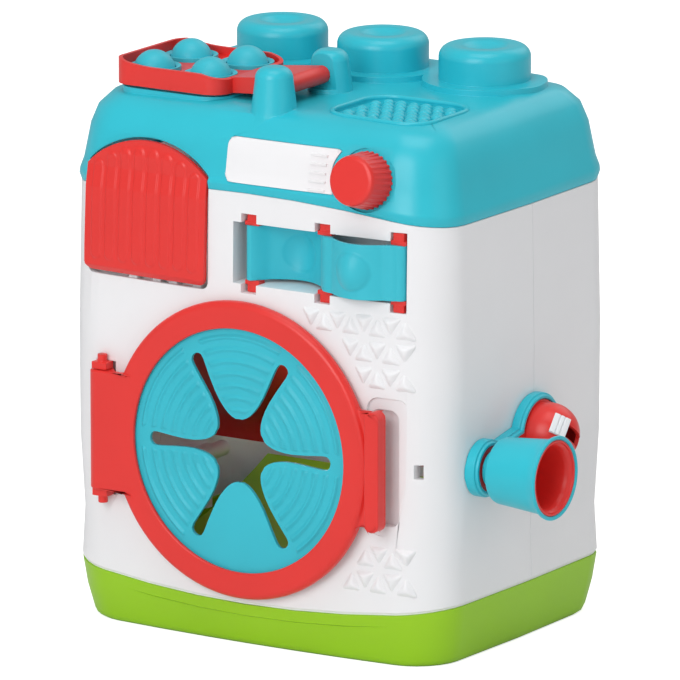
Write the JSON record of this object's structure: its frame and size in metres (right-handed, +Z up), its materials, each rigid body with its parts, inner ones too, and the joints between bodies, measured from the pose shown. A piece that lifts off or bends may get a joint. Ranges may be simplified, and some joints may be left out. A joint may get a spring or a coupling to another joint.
{
  "type": "toy washing machine",
  "caption": "Toy washing machine with a swinging star-slit door, tilting soap flap, flip-up bubble lid, dial, popping strip, side lever and turning cup.",
  "frame": {"origin": "middle of the base where it stands on the ground", "axes": "+Z up, +X to the object's left-to-right seen from the front, -Y out of the front"},
  "size_m": [0.2654, 0.1866, 0.287],
  "materials": {
    "green_plastic": "moulded green plastic, satin",
    "white_plastic": "moulded white plastic, satin",
    "teal_plastic": "moulded turquoise plastic, satin",
    "red_plastic": "moulded red plastic, satin",
    "teal_silicone": "soft turquoise silicone, matt",
    "pad_rubber": "soft dark green pad",
    "steel": "zinc-plated steel"
  },
  "bodies": {
    "casing": {"base_tray": "green_plastic", "base_pads": "pad_rubber", "base_screws": "steel", "front_shell": "white_plastic", "rear_shell": "white_plastic", "shell_screws": "steel", "top_cover": "teal_plastic", "label_plate": "white_plastic", "floor_ramp": "green_plastic", "drum_baffle": "red_plastic", "door_hinge_pin": "red_plastic", "flap_pin": "steel", "strip_pins": "red_plastic", "pop_strip": "teal_silicone", "lid_pin": "steel", "side_bezel": "teal_plastic", "side_plate": "red_plastic", "side_dome": "red_plastic", "lever_pin": "steel", "side_screws": "steel"},
    "door": {"door_ring": "red_plastic", "door_membrane": "teal_silicone", "door_clamp": "red_plastic"},
    "flap": {"soap_flap": "red_plastic"},
    "left_lobe": {"left_crown": "teal_silicone"},
    "right_lobe": {"right_crown": "teal_silicone"},
    "lid": {"lid_tray": "red_plastic", "lid_backing": "red_plastic", "bubble_sheet": "teal_silicone"},
    "bubble_a": {"bubble_1": "teal_silicone"},
    "bubble_b": {"bubble_2": "teal_silicone"},
    "bubble_c": {"bubble_3": "teal_silicone"},
    "bubble_d": {"bubble_4": "teal_silicone"},
    "dial": {"dial_knob": "red_plastic", "dial_shaft": "white_plastic", "dial_clip": "steel", "dial_screw": "steel"},
    "lever": {"side_lever": "white_plastic"},
    "cup": {"cup_body": "teal_plastic", "cup_liner": "red_plastic", "cup_stem": "teal_plastic", "cup_clip": "steel"}
  },
  "joints": [
    {"name": "door_swing", "type": "hinge", "parent": "casing", "child": "door", "pos_m": [-0.0825, -0.0877, 0.1], "axis": [0, 0, -1], "range_deg": [0, 110]},
    {"name": "flap_tilt", "type": "hinge", "parent": "casing", "child": "flap", "pos_m": [-0.05775, -0.08197, 0.1815], "axis": [1, 0, 0], "range_deg": [0, 20]},
    {"name": "strip_pop", "type": "slide", "parent": "casing", "child": "right_lobe", "axis": [0, 1, 0], "range_m": [0, 0.022], "deforming": ["pop_strip"]},
    {"name": "left_pop", "type": "slide", "parent": "casing", "child": "left_lobe", "axis": [0, 1, 0], "range_m": [-0.022, 0]},
    {"name": "lid_flip", "type": "hinge", "parent": "casing", "child": "lid", "pos_m": [0.003, -0.036, 0.2755], "axis": [0, 1, 0], "range_deg": [0, 165]},
    {"name": "bubble_a_press", "type": "slide", "parent": "lid", "child": "bubble_a", "axis": [0, 0, -1], "range_m": [0, 0.006]},
    {"name": "bubble_b_press", "type": "slide", "parent": "lid", "child": "bubble_b", "axis": [0, 0, -1], "range_m": [0, 0.006]},
    {"name": "bubble_c_press", "type": "slide", "parent": "lid", "child": "bubble_c", "axis": [0, 0, -1], "range_m": [0, 0.006]},
    {"name": "bubble_d_press", "type": "slide", "parent": "lid", "child": "bubble_d", "axis": [0, 0, -1], "range_m": [0, 0.006]},
    {"name": "dial_turn", "type": "hinge", "parent": "casing", "child": "dial", "pos_m": [0.0678, -0.08218, 0.241], "axis": [0, -0.9871, 0.16], "continuous": true},
    {"name": "lever_rock", "type": "hinge", "parent": "casing", "child": "lever", "pos_m": [0.12135, 0, 0.106], "axis": [0, 0.6198, 0.7848], "range_deg": [0, 70]},
    {"name": "cup_turn", "type": "hinge", "parent": "casing", "child": "cup", "pos_m": [0.1224, -0.0463, 0.097], "axis": [1, 0, 0], "continuous": true}
  ],
  "couplings": [
    {"joint": "left_pop", "follows": "strip_pop", "ratio": -1}
  ]
}
